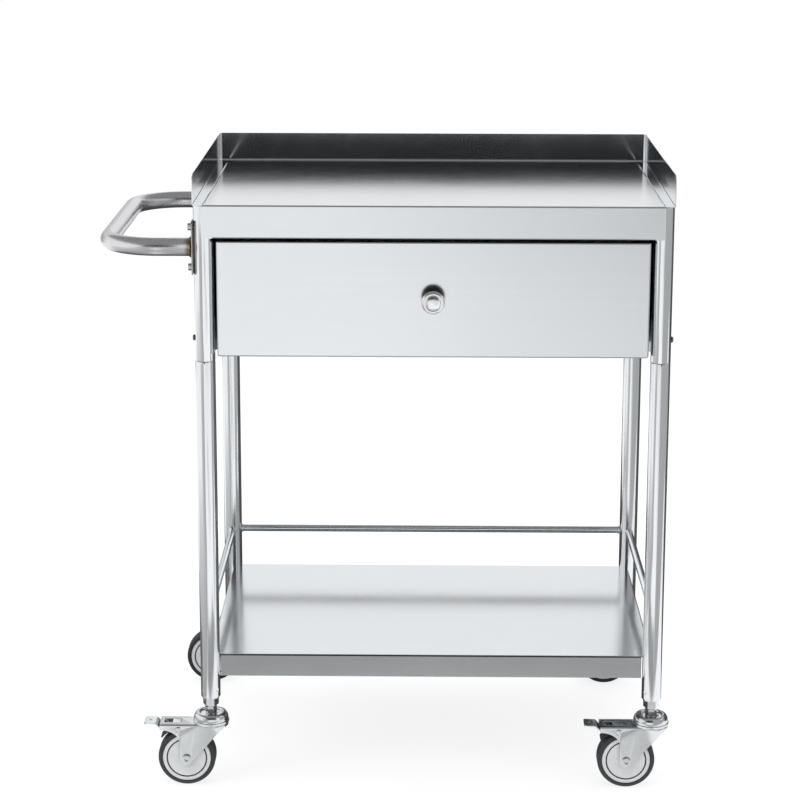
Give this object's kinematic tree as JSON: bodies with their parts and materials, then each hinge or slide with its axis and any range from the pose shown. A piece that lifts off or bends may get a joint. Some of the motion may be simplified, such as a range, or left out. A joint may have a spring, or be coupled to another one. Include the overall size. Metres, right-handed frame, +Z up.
{
  "type": "utility cart",
  "caption": "Steel utility cart with a guarded top tray, a drawer under it, a lower shelf with rails, tube legs, a side push handle and swivel casters, those in front with foot brakes.",
  "frame": {"origin": "on the floor, under the centre of the bounding box", "axes": "+Z up, -Y towards the drawer's front, -X towards the push handle"},
  "size_m": [0.7358, 0.4382, 0.808],
  "materials": {
    "sheet_steel": "fine brushed stainless sheet, light reflections",
    "tube_steel": "satin polished stainless tube",
    "zinc_steel": "bright zinc plate on caster and slide steel",
    "knob_chrome": "polished chrome plate",
    "tyre_rubber": "dark grey matt rubber",
    "shoe_rubber": "black matt rubber",
    "wheel_plastic": "light grey moulded plastic"
  },
  "bodies": {
    "frame": {"top_tray": "sheet_steel", "top_guard": "sheet_steel", "upper_leg_front_left": "tube_steel", "upper_leg_front_right": "tube_steel", "upper_leg_rear_left": "tube_steel", "upper_leg_rear_right": "tube_steel", "lower_leg_front_left": "tube_steel", "lower_leg_front_right": "tube_steel", "lower_leg_rear_left": "tube_steel", "lower_leg_rear_right": "tube_steel", "leg_sleeve_front_left": "zinc_steel", "leg_sleeve_front_right": "zinc_steel", "leg_sleeve_rear_left": "zinc_steel", "leg_sleeve_rear_right": "zinc_steel", "caster_stem_front_left": "zinc_steel", "caster_stem_front_right": "zinc_steel", "caster_stem_rear_left": "zinc_steel", "caster_stem_rear_right": "zinc_steel", "housing_side_left": "sheet_steel", "housing_side_right": "sheet_steel", "housing_back": "sheet_steel", "lower_shelf": "sheet_steel", "rail_rear": "tube_steel", "rail_left": "tube_steel", "rail_right": "tube_steel", "handle_bar": "tube_steel", "handle_plate_front": "tube_steel", "handle_plate_rear": "tube_steel", "slide_outer_left": "zinc_steel", "slide_outer_right": "zinc_steel"},
    "drawer": {"drawer_box": "sheet_steel", "drawer_front": "sheet_steel", "drawer_knob": "knob_chrome", "knob_screw": "zinc_steel", "slide_inner_left": "zinc_steel", "slide_inner_right": "zinc_steel"},
    "slide_middle": {"slide_middle_left": "zinc_steel", "slide_middle_right": "zinc_steel"},
    "swivel_front_left": {"fork_front_left": "zinc_steel", "axle_front_left": "zinc_steel", "brake_pin_front_left": "zinc_steel"},
    "wheel_front_left": {"tyre_front_left": "tyre_rubber", "wheel_core_front_left": "wheel_plastic"},
    "pedal_front_left": {"brake_lever_front_left": "zinc_steel", "brake_shoe_front_left": "shoe_rubber"},
    "swivel_front_right": {"fork_front_right": "zinc_steel", "axle_front_right": "zinc_steel", "brake_pin_front_right": "zinc_steel"},
    "wheel_front_right": {"tyre_front_right": "tyre_rubber", "wheel_core_front_right": "wheel_plastic"},
    "pedal_front_right": {"brake_lever_front_right": "zinc_steel", "brake_shoe_front_right": "shoe_rubber"},
    "swivel_rear_left": {"fork_rear_left": "zinc_steel", "axle_rear_left": "zinc_steel"},
    "wheel_rear_left": {"tyre_rear_left": "tyre_rubber", "wheel_core_rear_left": "wheel_plastic"},
    "swivel_rear_right": {"fork_rear_right": "zinc_steel", "axle_rear_right": "zinc_steel"},
    "wheel_rear_right": {"tyre_rear_right": "tyre_rubber", "wheel_core_rear_right": "wheel_plastic"}
  },
  "joints": [
    {"name": "drawer_slide", "type": "slide", "parent": "frame", "child": "drawer", "axis": [0, -1, 0], "range_m": [0, 0.28]},
    {"name": "middle_slide", "type": "slide", "parent": "frame", "child": "slide_middle", "axis": [0, -1, 0], "range_m": [0, 0.14]},
    {"name": "swivel_front_left_turn", "type": "hinge", "parent": "frame", "child": "swivel_front_left", "pos_m": [-0.2302, -0.17905, 0.085], "axis": [0, 0, 1], "continuous": true},
    {"name": "wheel_front_left_spin", "type": "hinge", "parent": "swivel_front_left", "child": "wheel_front_left", "pos_m": [-0.262, -0.17905, 0.0375], "axis": [0, 1, 0], "continuous": true},
    {"name": "pedal_front_left_press", "type": "hinge", "parent": "swivel_front_left", "child": "pedal_front_left", "pos_m": [-0.2723, -0.17905, 0.0788], "axis": [0, -1, 0], "range_deg": [0, 8]},
    {"name": "swivel_front_right_turn", "type": "hinge", "parent": "frame", "child": "swivel_front_right", "pos_m": [0.3444, -0.17905, 0.085], "axis": [0, 0, 1], "continuous": true},
    {"name": "wheel_front_right_spin", "type": "hinge", "parent": "swivel_front_right", "child": "wheel_front_right", "pos_m": [0.3126, -0.17905, 0.0375], "axis": [0, 1, 0], "continuous": true},
    {"name": "pedal_front_right_press", "type": "hinge", "parent": "swivel_front_right", "child": "pedal_front_right", "pos_m": [0.3023, -0.17905, 0.0788], "axis": [0, -1, 0], "range_deg": [0, 8]},
    {"name": "swivel_rear_left_turn", "type": "hinge", "parent": "frame", "child": "swivel_rear_left", "pos_m": [-0.2302, 0.19555, 0.085], "axis": [0, 0, 1], "continuous": true},
    {"name": "wheel_rear_left_spin", "type": "hinge", "parent": "swivel_rear_left", "child": "wheel_rear_left", "pos_m": [-0.262, 0.19555, 0.0375], "axis": [0, 1, 0], "continuous": true},
    {"name": "swivel_rear_right_turn", "type": "hinge", "parent": "frame", "child": "swivel_rear_right", "pos_m": [0.3444, 0.19555, 0.085], "axis": [0, 0, 1], "continuous": true},
    {"name": "wheel_rear_right_spin", "type": "hinge", "parent": "swivel_rear_right", "child": "wheel_rear_right", "pos_m": [0.3126, 0.19555, 0.0375], "axis": [0, 1, 0], "continuous": true}
  ],
  "couplings": [
    {"joint": "middle_slide", "follows": "drawer_slide", "ratio": 0.5}
  ]
}
